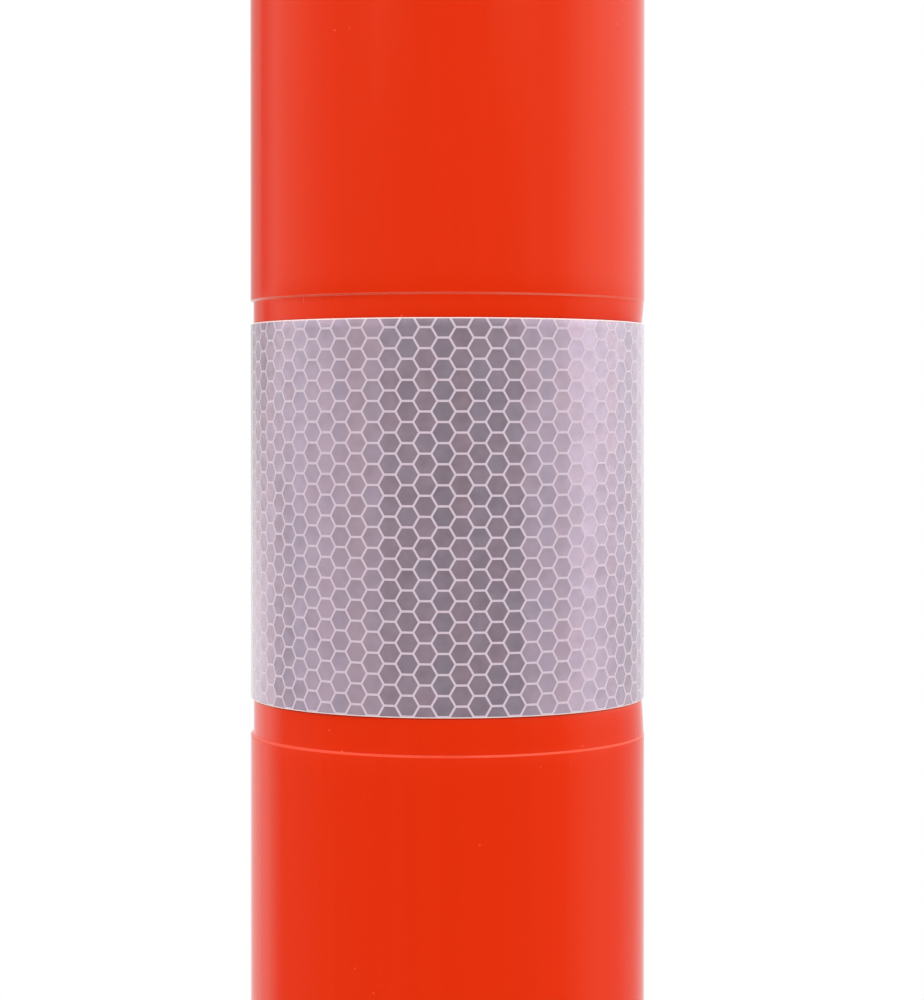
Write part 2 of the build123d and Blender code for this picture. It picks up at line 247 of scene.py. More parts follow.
def closed_lathe(name, outline, segments, shape=None, sharp_degrees=35):
    """Solid of revolution from a closed outline of (radius, height), each radius reshaped if asked."""
    vertices, faces = [], []
    count = len(outline)
    for step in range(segments):
        angle = 2 * math.pi * step / segments
        for radius, height in outline:
            if shape:
                radius = shape(radius, height, angle)
            vertices.append((radius * math.cos(angle), radius * math.sin(angle), height))
    for step in range(segments):
        here = step * count
        following = (step + 1) % segments * count
        for index in range(count):
            after = (index + 1) % count
            faces.append((here + index, following + index, following + after, here + after))
    mesh = bpy.data.meshes.new(name)
    mesh.from_pydata(vertices, [], faces)
    bm = bmesh.new()
    bm.from_mesh(mesh)
    bmesh.ops.remove_doubles(bm, verts=bm.verts, dist=1e-7)
    bmesh.ops.dissolve_degenerate(bm, dist=1e-8, edges=bm.edges)
    bmesh.ops.recalc_face_normals(bm, faces=bm.faces)
    bm.to_mesh(mesh)
    bm.free()
    piece = new_object(name, mesh)
    finish_mesh(piece, sharp_degrees)
    return piece


def rounded(points, steps=6):
    """Closed outline of (radius, height) with rounded corners, from (radius, height, rounding) points."""
    outline = []
    count = len(points)
    for index, (radius, height, rounding) in enumerate(points):
        corner = Vector((radius, height))
        if rounding <= 0:
            outline.append((radius, height))
            continue
        before = Vector(points[index - 1][:2]) - corner
        after = Vector(points[(index + 1) % count][:2]) - corner
        half = before.angle(after) / 2
        setback = min(rounding / math.tan(half), before.length * 0.499, after.length * 0.499)
        true_rounding = setback * math.tan(half)
        inward = (before.normalized() + after.normalized()).normalized()
        centre = corner + inward * (true_rounding / math.sin(half))
        first = corner + before.normalized() * setback - centre
        last = corner + after.normalized() * setback - centre
        turn = first.angle_signed(last)
        for step in range(steps + 1):
            share = -turn * step / steps
            across = first.x * math.cos(share) - first.y * math.sin(share)
            along = first.x * math.sin(share) + first.y * math.cos(share)
            point = centre + Vector((across, along))
            outline.append((point.x, point.y))
    return outline


def divided(outline, longest):
    """The same closed outline with its long steps divided."""
    result = []
    for index, start in enumerate(outline):
        end = outline[(index + 1) % len(outline)]
        pieces = max(1, math.ceil(math.dist(start, end) / longest))
        for step in range(pieces):
            share = step / pieces
            radius = start[0] + (end[0] - start[0]) * share
            height = start[1] + (end[1] - start[1]) * share
            result.append((radius, height))
    return result


def angle_between(a, b):
    """Smallest difference of two angles."""
    return abs((a - b + math.pi) % (2 * math.pi) - math.pi)


# ---------------------------------------------------------------- materials


class Look:
    """A node material under construction."""

    def __init__(self, name):
        self.material = bpy.data.materials.new(name)
        self.material.use_nodes = True
        self.nodes = self.material.node_tree.nodes
        self.links = self.material.node_tree.links
        self.nodes.clear()
        self.shader = self.add("ShaderNodeBsdfPrincipled")
        output = self.add("ShaderNodeOutputMaterial")
        self.links.new(self.shader.outputs["BSDF"], output.inputs["Surface"])
        self.place = self.add("ShaderNodeTexCoord").outputs["Object"]

    def add(self, kind, **settings):
        """Adds a node with its settings."""
        node = self.nodes.new(kind)
        for key, value in settings.items():
            setattr(node, key, value)
        return node

    def connect(self, source, target):
        """Links an output to a socket, or sets the socket to a plain value."""
        if isinstance(source, bpy.types.NodeSocket):
            self.links.new(source, target)
        else:
            target.default_value = source

    def stretched(self, scale):
        """Object coordinates scaled differently along X, Y and Z."""
        node = self.add("ShaderNodeMapping")
        self.connect(self.place, node.inputs["Vector"])
        node.inputs["Scale"].default_value = scale
        return node.outputs["Vector"]

    def noise(self, scale, detail=3.0, vector=None, roughness=0.5):
        """Soft noise from 0 to 1."""
        node = self.add("ShaderNodeTexNoise")
        self.connect(vector or self.place, node.inputs["Vector"])
        node.inputs["Scale"].default_value = scale
        node.inputs["Detail"].default_value = detail
        node.inputs["Roughness"].default_value = roughness
        return node.outputs["Fac"]

    def cells(self, scale, vector=None, feature="F1"):
        """Distance to scattered points, or to the edges between their cells."""
        node = self.add("ShaderNodeTexVoronoi", feature=feature)
        self.connect(vector or self.place, node.inputs["Vector"])
        node.inputs["Scale"].default_value = scale
        return node.outputs["Distance"]

    def fit(self, value, low, high, to_low=0.0, to_high=1.0):
        """Maps a range of a value onto another, clamped."""
        node = self.add("ShaderNodeMapRange")
        self.connect(value, node.inputs["Value"])
        node.inputs["From Min"].default_value = low
        node.inputs["From Max"].default_value = high
        node.inputs["To Min"].default_value = to_low
        node.inputs["To Max"].default_value = to_high
        return node.outputs["Result"]

    def maths(self, operation, first, second=0.0):
        """One operation on one or two values."""
        node = self.add("ShaderNodeMath", operation=operation)
        self.connect(first, node.inputs[0])
        self.connect(second, node.inputs[1])
        return node.outputs["Value"]

    def mix(self, factor, first, second):
        """Mixes two colours."""
        node = self.add("ShaderNodeMix", data_type="RGBA")
        self.connect(factor, node.inputs[0])
        self.connect(colour(first), node.inputs[6])
        self.connect(colour(second), node.inputs[7])
        return node.outputs[2]

    def bump(self, height, distance, normal=None):
        """Surface normal tilted by a height map."""
        node = self.add("ShaderNodeBump")
        node.inputs["Distance"].default_value = distance
        self.connect(height, node.inputs["Height"])
        if normal:
            self.connect(normal, node.inputs["Normal"])
        return node.outputs["Normal"]

    def set(self, **values):
        """Sets or links the shader's sockets, named in snake case."""
        for key, value in values.items():
            socket = self.shader.inputs[key.replace("_", " ").title().replace("Ior", "IOR")]
            self.connect(value, socket)


def colour(value):
    """A plain colour with its alpha, or a socket as it is."""
    if isinstance(value, tuple) and len(value) == 3:
        return (*value, 1.0)
    return value


def moulded_plastic():
    """Glossy moulded plastic: vertical draw lines, tiny pits, pale specks and hair scratches, with a
    painted highlight on the recess edges and the mould mark and a painted shadow along the bands' edges.
    """
    look = Look("moulded_plastic")
    streaks = look.noise(320, 3.0, look.stretched((1, 1, 0.02)))
    clouds = look.noise(9, 3.0)
    tone = look.fit(look.maths("ADD", streaks, clouds), 0.7, 1.3)
    deep = tuple(channel * 0.955 for channel in RED_ORANGE)
    base = look.mix(tone, deep, RED_ORANGE)

    specks = look.fit(look.cells(230), 0.02, 0.06, 1.0, 0.0)
    few = look.fit(look.noise(75, 1.0), 0.57, 0.62)
    speckled = look.maths("MULTIPLY", specks, look.maths("MULTIPLY", few, 0.55))
    base = look.mix(speckled, base, PALE_SPECK)

    edge_paint = look.add("ShaderNodeAttribute", attribute_name="edge_highlight_and_shadow").outputs["Color"]
    split = look.add("ShaderNodeSeparateColor")
    look.connect(edge_paint, split.inputs["Color"])
    slope_highlight, contact_shadow, _ = split.outputs
    # Painted highlight: pale colour along the recesses' sloping edges and on the mould mark
    base = look.mix(look.maths("MULTIPLY", slope_highlight, 0.3), base, PAINTED_EDGE_HIGHLIGHT)
    # Painted shadow: a dark line along the bands' edges
    base = look.mix(look.maths("MULTIPLY", contact_shadow, 0.8), base, PAINTED_CONTACT_SHADOW)

    long_cells = look.cells(120, look.stretched((1, 1, 0.05)), "DISTANCE_TO_EDGE")
    hairs = look.fit(long_cells, 0.0, 0.012, 1.0, 0.0)
    rare = look.fit(look.noise(30, 2.0), 0.60, 0.72)
    scratch = look.maths("MULTIPLY", hairs, rare)
    roughness = look.fit(streaks, 0.3, 0.7, 0.07, 0.12)
    roughness = look.maths("ADD", roughness, look.maths("MULTIPLY", scratch, 0.12))

    pits = look.maths("MULTIPLY", look.fit(look.cells(160), 0.03, 0.10), 0.5)
    height = look.maths("ADD", pits, look.maths("MULTIPLY", look.noise(450, 3.0), 0.25))
    height = look.maths("SUBTRACT", height, look.maths("MULTIPLY", scratch, 0.4))
    drawn = look.bump(streaks, 0.03 * MM)
    look.set(
        base_color=base,
        roughness=roughness,
        ior=1.5,
        specular_tint=WARM_REFLECTION,
        normal=look.bump(height, 0.01 * MM, normal=drawn),
    )
    return look.material


def satin_elastomer(name, grain_depth):
    """Moulded polyurethane: satin, clouded and a little worn, with a fine grain."""
    look = Look(name)
    clouds = look.noise(14, 4.0)
    worn = look.fit(look.noise(55, 5.0, roughness=0.65), 0.45, 0.70)
    deep = tuple(channel * 0.86 for channel in RED_ORANGE_SATIN)
    base = look.mix(look.fit(clouds, 0.35, 0.65), deep, RED_ORANGE_SATIN)
    base = look.mix(look.maths("MULTIPLY", worn, 0.10), base, WORN_ELASTOMER)
    roughness = look.fit(worn, 0.0, 1.0, 0.34, 0.46)
    grain = look.maths("ADD", look.noise(900, 2.0), look.maths("MULTIPLY", look.cells(700), 0.6))
    look.set(base_color=base, roughness=roughness, ior=1.5, normal=look.bump(grain, grain_depth))
    return look.material


def metal(name, base_colour, low, high, brush_scale):
    """Plated or milled metal with fine brushing and a few dull patches."""
    look = Look(name)
    brush = look.noise(400, 3.0, look.stretched(brush_scale))
    patches = look.fit(look.noise(120, 4.0), 0.40, 0.70)
    dull = tuple(channel * 0.72 for channel in base_colour)
    look.set(
        base_color=look.mix(look.maths("MULTIPLY", patches, 0.6), base_colour, dull),
        metallic=1.0,
        roughness=look.fit(look.maths("ADD", brush, patches), 0.4, 1.4, low, high),
        normal=look.bump(brush, 0.01 * MM),
    )
    return look.material


def hoop_nylon():
    """Matte black nylon with a fine moulded grain."""
    look = Look("hoop_nylon")
    grain = look.noise(700, 3.0)
    base = look.mix(look.noise(40, 3.0), *BLACK_NYLON)
    roughness = look.fit(grain, 0.3, 0.7, 0.45, 0.6)
    look.set(base_color=base, roughness=roughness, normal=look.bump(grain, 0.03 * MM))
    return look.material


def reflective_sheeting():
    """Silver prismatic cells of slightly different tones, with painted shade and painted highlight in broad
    zones round the post, and a pale lattice, under a clear glossy film.
    """
    look = Look("reflective_sheeting")
    tone = look.add("ShaderNodeAttribute", attribute_name="cell_light_hue_lattice").outputs["Color"]
    split = look.add("ShaderNodeSeparateColor")
    look.connect(tone, split.inputs["Color"])
    # The lightness channel carries painted shade facing the front and painted highlight to the sides,
    # besides random spread
    lightness, hue, lattice = split.outputs
    mottle = look.fit(look.noise(420, 2.0), 0.3, 0.7, -0.16, 0.16)
    lightness = look.maths("ADD", lightness, mottle)
    cell = look.mix(hue, look.mix(lightness, *MAUVE_CELLS), look.mix(lightness, *SLATE_CELLS))
    tangent = look.add("ShaderNodeTangent", direction_type="RADIAL", axis="Z")
    look.set(
        base_color=look.mix(lattice, cell, LATTICE),
        metallic=look.fit(lattice, 0.0, 1.0, 0.70, 0.0),
        roughness=look.fit(lattice, 0.0, 1.0, 0.24, 0.5),
        anisotropic=0.6,
        anisotropic_rotation=0.25,
        tangent=tangent.outputs["Tangent"],
        coat_weight=0.9,
        coat_roughness=0.10,
        coat_ior=1.5,
        normal=look.bump(look.noise(500, 3.0), 0.006 * MM),
    )
    return look.material


def film_edge_highlight():
    """Cut edge of the sheeting, painted pale: a painted highlight where light gathered by the clear film
    comes out.
    """
    look = Look("film_edge_highlight")
    base = look.mix(look.noise(300, 3.0), *FILM_EDGE_HIGHLIGHT)
    roughness = look.fit(look.noise(900, 2.0), 0.3, 0.7, 0.25, 0.45)
    look.set(base_color=base, roughness=roughness, ior=1.5)
    return look.material


# ---------------------------------------------------------------- pieces


def beyond_band(height):
    """0 at a band's edge and under it, rising to 1 at its recess's edge."""
    for bottom, band_low, band_high, top in RECESSES:
        if bottom - RECESS_SLOPE < height < band_low:
            return min(1.0, (band_low - height) / RECESS_BELOW_BAND) ** SHALLOWING_ONSET
        if band_high < height < top + RECESS_SLOPE:
            return min(1.0, (height - band_high) / RECESS_ABOVE_BAND) ** SHALLOWING_ONSET
    return 0.0


def edge_highlight_and_shadow(height):
    """How strongly a height on the tube's outside gets the painted highlight of a recess's sloping edge,
    and whether it gets the painted shadow along a band's edge.
    """
    slope_highlight = 0.0
    contact_shadow = 0.0
    for bottom, band_low, band_high, top in RECESSES:
        for edge, direction, strength in ((bottom, -1, LOWER_EDGE_HIGHLIGHT), (top, 1, UPPER_EDGE_HIGHLIGHT)):
            if -EDGE_PAINT_MARGIN < (height - edge) * direction < RECESS_SLOPE + EDGE_PAINT_MARGIN:
                slope_highlight = strength
        if min(abs(height - band_low), abs(height - band_high)) < EDGE_PAINT_MARGIN:
            contact_shadow = 1.0
    return slope_highlight, contact_shadow


def store_painted_edge_light_and_shade(tube):
    """Stores the painted highlight on the recess edges and the painted shadow along the lines where the
    bands meet the tube, for the material.
    """
    edge_paint = tube.data.attributes.new("edge_highlight_and_shadow", "FLOAT_COLOR", "POINT")
    for vertex, mark in zip(tube.data.vertices, edge_paint.data):
        outside = vertex.co.xy.length > POST_RADIUS - TUBE_WALL / 2
        slope_highlight, contact_shadow = edge_highlight_and_shadow(vertex.co.z) if outside else (0.0, 0.0)
        mark.color = (slope_highlight, contact_shadow, 0, 1)


def make_post_tube(material):
    """Tube with filleted recess edges, two mould parting ridges and a slight waviness; its edges get the
    painted highlight and shadow.
    """
    inner = POST_RADIUS - TUBE_WALL
    floor_radius = POST_RADIUS - RECESS_DEPTH
    edge = RECESS_EDGE_RADIUS
    points = [(inner, TUBE_LOW.z, 0), (POST_RADIUS, TUBE_LOW.z, TUBE_LIP_ROUNDING)]
    for bottom, _, _, top in RECESSES:
        points += [(POST_RADIUS, bottom - RECESS_SLOPE, edge), (floor_radius, bottom, edge)]
        below = [bottom + RECESS_BELOW_BAND * share for share in STRIP_SHARES]
        above = [top - RECESS_ABOVE_BAND * share for share in reversed(STRIP_SHARES)]
        points += [(floor_radius, height, 0) for height in below + above]
        points += [(floor_radius, top, edge), (POST_RADIUS, top + RECESS_SLOPE, edge)]
    points += [(POST_RADIUS, TUBE_HIGH.z, TUBE_LIP_ROUNDING), (inner, TUBE_HIGH.z, 0)]
    outline = divided(rounded(points, 4), LONGEST_TUBE_STEP)

    def shape(radius, height, angle):
        if radius < inner + 1e-6:
            return radius
        rightward = (0.5 + 0.5 * math.cos(angle)) ** RIGHTWARD_SHARPNESS
        radius += (POST_RADIUS - radius) * RECESS_SHALLOWING * rightward * beyond_band(height)
        wave = sum(
            math.sin(waves * angle + rate * height + phase) * share for waves, rate, phase, share in WAVES
        )
        radius -= WAVINESS * (1 + wave) * 0.5
        for ridge in (PARTING_ANGLE, PARTING_ANGLE + math.pi):
            away = angle_between(angle, ridge) * POST_RADIUS / PARTING_HALF_WIDTH
            radius += PARTING_HEIGHT * max(0.0, 1 - away * away)
        return radius

    tube = closed_lathe("post_tube_skin", outline, TUBE_SEGMENTS, shape, 50)
    store_painted_edge_light_and_shade(tube)
    tube.data.materials.append(material)
    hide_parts("post_tube")
    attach(tube, "post")


def make_mould_mark(material):
    """Tiny upright witness mark that the mould leaves just inside the middle recess's upper edge, painted
    pale with the edges' painted highlight.
    """
    top = RECESSES[1][3] + RECESS_SLOPE
    root = POST_RADIUS - RECESS_DEPTH - WITNESS_ROOT
    vertices, faces = [], []
    for step in range(WITNESS_STEPS + 1):
        swell = math.sin(math.pi * step / WITNESS_STEPS)
        half_turn = WITNESS_HALF_WIDTH * (0.25 + 0.75 * swell) / POST_RADIUS
        crest = root + WITNESS_ROOT + WITNESS_RISE * swell
        height = top - WITNESS_HEIGHT * step / WITNESS_STEPS
        for turn, radius in ((-half_turn, root), (0, crest), (half_turn, root)):
            angle = WITNESS_ANGLE + turn
            vertices.append((radius * math.cos(angle), radius * math.sin(angle), height))
    for step in range(WITNESS_STEPS):
        first = 3 * step
        for side in range(3):
            other = (side + 1) % 3
            faces.append((first + side, first + other, first + 3 + other, first + 3 + side))
    last = 3 * WITNESS_STEPS
    faces += [(0, 1, 2), (last + 2, last + 1, last)]
    mesh = bpy.data.meshes.new("mould_mark")
    mesh.from_pydata(vertices, [], faces)
    mark = new_object("mould_mark", mesh)
    finish_mesh(mark, 80)
    # The whole mark gets a strong painted highlight
    for tone in mesh.attributes.new("edge_highlight_and_shadow", "FLOAT_COLOR", "POINT").data:
        tone.color = (WITNESS_HIGHLIGHT, 0, 0, 1)
    mesh.materials.append(material)
    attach(mark, "post")


def hexagon(centre_u, centre_v, side):
    """Corners of a flat-topped hexagon."""
    turns = [math.radians(60 * corner) for corner in range(6)]
    return [(centre_u + side * math.cos(turn), centre_v + side * math.sin(turn)) for turn in turns]


def in_zones(zones, degrees):
    """Value at an angle, from a list of (angle, value) points joined by straight lines."""
    for (start, first), (end, last) in zip(zones, zones[1:]):
        if start <= degrees < end:
            return first + (last - first) * (degrees - start) / (end - start)
    return zones[-1][1]


def sheeting_light_and_hue(angle, draw):
    """Lightness and hue of a column of cells. The lightness is painted light in broad zones round the post,
    shaded facing the front and lit to the sides, with random spread; the hue also changes in broad zones
    round the post, with random spread.
    """
    degrees = math.degrees(angle - FRONT)
    light = in_zones(PAINTED_LIGHT_ZONES, abs(degrees - ZONE_SHIFT))
    hue = in_zones(HUE_ZONES, degrees)
    return light + draw.gauss(0, COLUMN_LIGHT_SPREAD), hue + draw.gauss(0, COLUMN_HUE_SPREAD)


def make_flat_honeycomb(length, height, phase_u, phase_v, seed):
    """Flat strip of hexagonal cells and lattice lines, cut to a rectangle, with a lightness, which carries
    painted light, and a hue for every cell.
    """
    draw = random.Random(seed)
    bm = bmesh.new()
    tones = bm.faces.layers.float_color.new("cell_light_hue_lattice")
    column_step = 1.5 * HEX_SIDE
    row_step = math.sqrt(3) * HEX_SIDE
    inner_side = HEX_SIDE - LINE_WIDTH / math.sqrt(3)
    half_columns = math.ceil(length / 2 / column_step) + 2
    rows = math.ceil(height / row_step) + 3
    for column in range(-half_columns, half_columns):
        centre_u = column * column_step + phase_u
        column_light, column_hue = sheeting_light_and_hue(band_angle(centre_u), draw)
        for row in range(rows):
            centre_v = (row - 1 + 0.5 * (column % 2)) * row_step + phase_v
            light = min(1, max(0, column_light + draw.gauss(0, CELL_LIGHT_SPREAD)))
            hue = min(1, max(0, column_hue + draw.gauss(0, CELL_HUE_SPREAD)))
            line_corners = hexagon(centre_u, centre_v, HEX_SIDE)
            cell_corners = hexagon(centre_u, centre_v, inner_side)
            outer = [bm.verts.new((u, v, LINE_RISE)) for u, v in line_corners]
            inner = [bm.verts.new((u, v, 0)) for u, v in cell_corners]
            middle = bm.verts.new((centre_u, centre_v, 0))
            for corner in range(6):
                after = (corner + 1) % 6
                cell = bm.faces.new((middle, inner[corner], inner[after]))
                cell[tones] = (light, hue, 0, 1)
                line = bm.faces.new((inner[corner], outer[corner], outer[after], inner[after]))
                line[tones] = (light, hue, 1, 1)
    bmesh.ops.remove_doubles(bm, verts=bm.verts, dist=HEX_SIDE * 0.01)
    cuts = (
        ((-length / 2, 0, 0), (-1, 0, 0)),
        ((length / 2, 0, 0), (1, 0, 0)),
        ((0, BEVEL_WIDTH, 0), (0, -1, 0)),
        ((0, height - BEVEL_WIDTH, 0), (0, 1, 0)),
    )
    for point, outward in cuts:
        geometry = bm.verts[:] + bm.edges[:] + bm.faces[:]
        bmesh.ops.bisect_plane(
            bm, geom=geometry, plane_co=point, plane_no=outward, clear_outer=True, dist=1e-6
        )
    bevel_strip_edges(bm, tones, height)
    return bm


def bevel_strip_edges(bm, tones, height):
    """Adds the sloping borders along a flat strip's lower and upper edges, in the second material, which
    paints a highlight on them.
    """
    for cut_v, border_v in ((BEVEL_WIDTH, 0.0), (height - BEVEL_WIDTH, height)):
        border = [
            edge
            for edge in bm.edges
            if edge.is_boundary and all(abs(vertex.co.y - cut_v) < 1e-6 for vertex in edge.verts)
        ]
        made = bmesh.ops.extrude_edge_only(bm, edges=border)["geom"]
        for item in made:
            if isinstance(item, bmesh.types.BMVert):
                item.co.y = border_v
                item.co.z = -BEVEL_DEPTH
            elif isinstance(item, bmesh.types.BMFace):
                item.material_index = 1
                item[tones] = (0.5, 0.5, 1, 1)


def band_angle(u):
    """Angle round the post of a place along the unrolled strip."""
    return FRONT + (u + BAND_OVERLAP / 2) / BAND_RADIUS


def make_band(node, materials, seed, phase):
    """Honeycomb sheeting wrapped round the post, with its far end lapped over its near end at the back."""
    low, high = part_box(node)
    height = high.z - low.z
    length = 2 * math.pi * BAND_RADIUS + BAND_OVERLAP
    bm = make_flat_honeycomb(length, height, *phase, seed)
    lap_start = length / 2 - BAND_OVERLAP - OVERLAP_RAMP
    for vertex in bm.verts:
        u, v, rise = vertex.co
        lift = min(1.0, max(0.0, (u - lap_start) / OVERLAP_RAMP))
        radius = BAND_RADIUS + rise + lift * lift * (3 - 2 * lift) * BAND_THICKNESS
        angle = band_angle(u)
        vertex.co = (radius * math.cos(angle), radius * math.sin(angle), low.z + v)
    bmesh.ops.recalc_face_normals(bm, faces=bm.faces)
    mesh = bpy.data.meshes.new(node + "_sheeting")
    bm.to_mesh(mesh)
    bm.free()
    band = new_object(node + "_sheeting", mesh)
    for material in materials:
        mesh.materials.append(material)
    make_outward(band)
    thicken(band, BAND_THICKNESS)
    finish_mesh(band, 40)
    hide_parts(node)
    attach(band, "post")


def make_outward(piece):
    """Turns a wrapped sheet's faces away from the Z axis."""
    mesh = piece.data
    facing = sum(p.normal.x * p.center.x + p.normal.y * p.center.y for p in mesh.polygons)
    if facing < 0:
        mesh.flip_normals()


def thicken(piece, thickness):
    """Gives a sheet its thickness inward, with the second material, a painted highlight, on its rim."""
    solidify = piece.modifiers.new("thickness", "SOLIDIFY")
    solidify.thickness = thickness
    solidify.offset = -1
    solidify.material_offset = 0
    solidify.material_offset_rim = 1
    apply_modifiers(piece)


def apply_modifiers(piece):
    """Replaces a piece's mesh with its evaluated one."""
    graph = bpy.context.evaluated_depsgraph_get()
    mesh = bpy.data.meshes.new_from_object(piece.evaluated_get(graph), depsgraph=graph)
    piece.modifiers.clear()
    piece.data = mesh


def make_top_cap(material):
    """Cap with a skirt inside the tube, a shoulder, a waist for a chain and a domed head."""
    tube_top, crown = TUBE_HIGH.z, CAP_HIGH.z
    waist_inner = CAP_WAIST_RADIUS - TUBE_WALL
    skirt_outer = POST_RADIUS - TUBE_WALL
    skirt_inner = skirt_outer - CAP_SKIRT_WALL

    def dome(radius):
        return crown - CAP_DOME_RADIUS + math.sqrt(CAP_DOME_RADIUS**2 - radius**2)

    points = [
        (0, crown - 5 * MM, 0),
        (waist_inner, crown - 12 * MM, 4 * MM),
        (waist_inner, tube_top + CAP_WAIST_BOTTOM, 2 * MM),
        (skirt_inner, tube_top + 2 * MM, 1 * MM),
        (skirt_inner, CAP_LOW.z, 0),
        (skirt_outer, CAP_LOW.z, 1.2 * MM),
        (skirt_outer, tube_top, 0),
        (POST_RADIUS, tube_top, 0.5 * MM),
        (POST_RADIUS, tube_top + CAP_SHOULDER_RISE, 3 * MM),
        (CAP_WAIST_RADIUS, tube_top + CAP_WAIST_BOTTOM, 5 * MM),
        (CAP_WAIST_RADIUS, tube_top + CAP_WAIST_TOP, 5 * MM),
        (CAP_HEAD_RADIUS, tube_top + CAP_HEAD_BOTTOM, 3 * MM),
        (CAP_HEAD_RADIUS, dome(CAP_HEAD_RADIUS), 6 * MM),
    ]
    points += [(radius, dome(radius), 0) for radius in CAP_DOME_RINGS]
    cap = closed_lathe("top_cap_skin", divided(rounded(points, 8), 4 * MM), NECK_SEGMENTS)
    cap.data.materials.append(material)
    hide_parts("top_cap")
    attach(cap, "post")


def rib_points(number, bottom, top):
    """Outline points of one neck section's ribs. On the last one, the collar takes the last rib's place."""
    pitch = (top - bottom) / RIBS_PER_SECTION
    ribs = RIBS_PER_SECTION - (1 if number == SECTION_COUNT - 1 else 0)
    points = []
    for rib in range(ribs):
        middle = bottom + pitch * (rib + 0.5)
        points += [
            (GROOVE_RADIUS, middle - RIB_FOOT_HALF, RIB_ROUNDING),
            (RIB_RADIUS, middle - RIB_LAND_HALF, RIB_ROUNDING),
            (RIB_RADIUS, middle + RIB_LAND_HALF, RIB_ROUNDING),
            (GROOVE_RADIUS, middle + RIB_FOOT_HALF, RIB_ROUNDING),
        ]
    return points


def neck_outline(number, low, high):
    """Outline of one neck section: the first has the flange and the last has the collar and spigot."""
    ribs = rib_points(number, low, high)
    end = [(GROOVE_RADIUS, high, 0), (NECK_INNER_RADIUS, high, 0)]
    if number == 0:
        flange_top = NECK_LOW.z + NECK_FLANGE_HEIGHT
        stem = [
            (NECK_STEM_RADIUS - 6 * MM, NECK_LOW.z, 0.4 * MM),
            (NECK_HIGH.x, NECK_LOW.z, 0.4 * MM),
            (NECK_HIGH.x, flange_top, 0.4 * MM),
            (NECK_STEM_RADIUS, flange_top, 0),
            (NECK_STEM_RADIUS, low - 0.6 * MM, 0.6 * MM),
            (GROOVE_RADIUS, low, 0.3 * MM),
        ]
        return stem + ribs + end + [(NECK_INNER_RADIUS, low, 0)]
    start = [(NECK_INNER_RADIUS, low, 0), (GROOVE_RADIUS, low, 0)]
    if number < SECTION_COUNT - 1:
        return start + ribs + end
    collar = high - COLLAR_HEIGHT
    spigot = POST_RADIUS - TUBE_WALL - SPIGOT_CLEARANCE
    return start + ribs + [
        (GROOVE_RADIUS, collar - 1 * MM, RIB_ROUNDING),
        (POST_RADIUS, collar, RIB_ROUNDING),
        (POST_RADIUS, high, 0.2 * MM),
        (spigot, high, 0),
        (spigot, high + SPIGOT_HEIGHT, 0.8 * MM),
        (spigot - SPIGOT_WALL, high + SPIGOT_HEIGHT, 0),
        (spigot - SPIGOT_WALL, high, 0),
        (NECK_INNER_RADIUS, high - 3 * MM, 0),
    ]


def make_neck_sections(material):
    """Ribbed sections of the neck, one for each of the first four joints, stacked between the base and the
    tube.
    """
    length = (TUBE_LOW.z - BASE_TOP) / SECTION_COUNT
    for number, joint in enumerate(frame["joints"][:SECTION_COUNT]):
        low, high = BASE_TOP + number * length, BASE_TOP + (number + 1) * length
        outline = divided(rounded(neck_outline(number, low, high), 5), LONGEST_NECK_STEP)
        section = closed_lathe(f"neck_skin_{number + 1}", outline, NECK_SEGMENTS)
        section.data.materials.append(material)
        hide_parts("flex_neck")
        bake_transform(section)


def make_base(material):
    """The base with the softened edges of a moulding."""
    bm = bmesh.new()
    bm.from_mesh(frame["nodes"]["base_plate"].data)
    bmesh.ops.remove_doubles(bm, verts=bm.verts, dist=1e-6)
    bmesh.ops.dissolve_limit(
        bm, angle_limit=math.radians(1), verts=bm.verts, edges=bm.edges, delimit={"NORMAL"}
    )
    mesh = bpy.data.meshes.new("base_moulding")
    bm.to_mesh(mesh)
    bm.free()
    base = new_object("base_moulding", mesh)
    bevel = base.modifiers.new("soft_edges", "BEVEL")
    bevel.width = BASE_EDGE_SOFTENING
    bevel.segments = 2
    bevel.limit_method = "ANGLE"
    bevel.angle_limit = math.radians(40)
    bevel.use_clamp_overlap = True
    apply_modifiers(base)
    finish_mesh(base, 30)
    base.data.materials.clear()
    base.data.materials.append(material)
    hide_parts("base_plate")
    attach(base, "base")


def dress_cad_nodes(looks):
    """Gives the CAD nodes that stay visible their finishes, by the start of their names."""
    for name, node in frame["nodes"].items():
        for start, material in looks.items():
            if name.startswith(start):
                node.data.materials.clear()
                node.data.materials.append(material)


# ---------------------------------------------------------------- studio


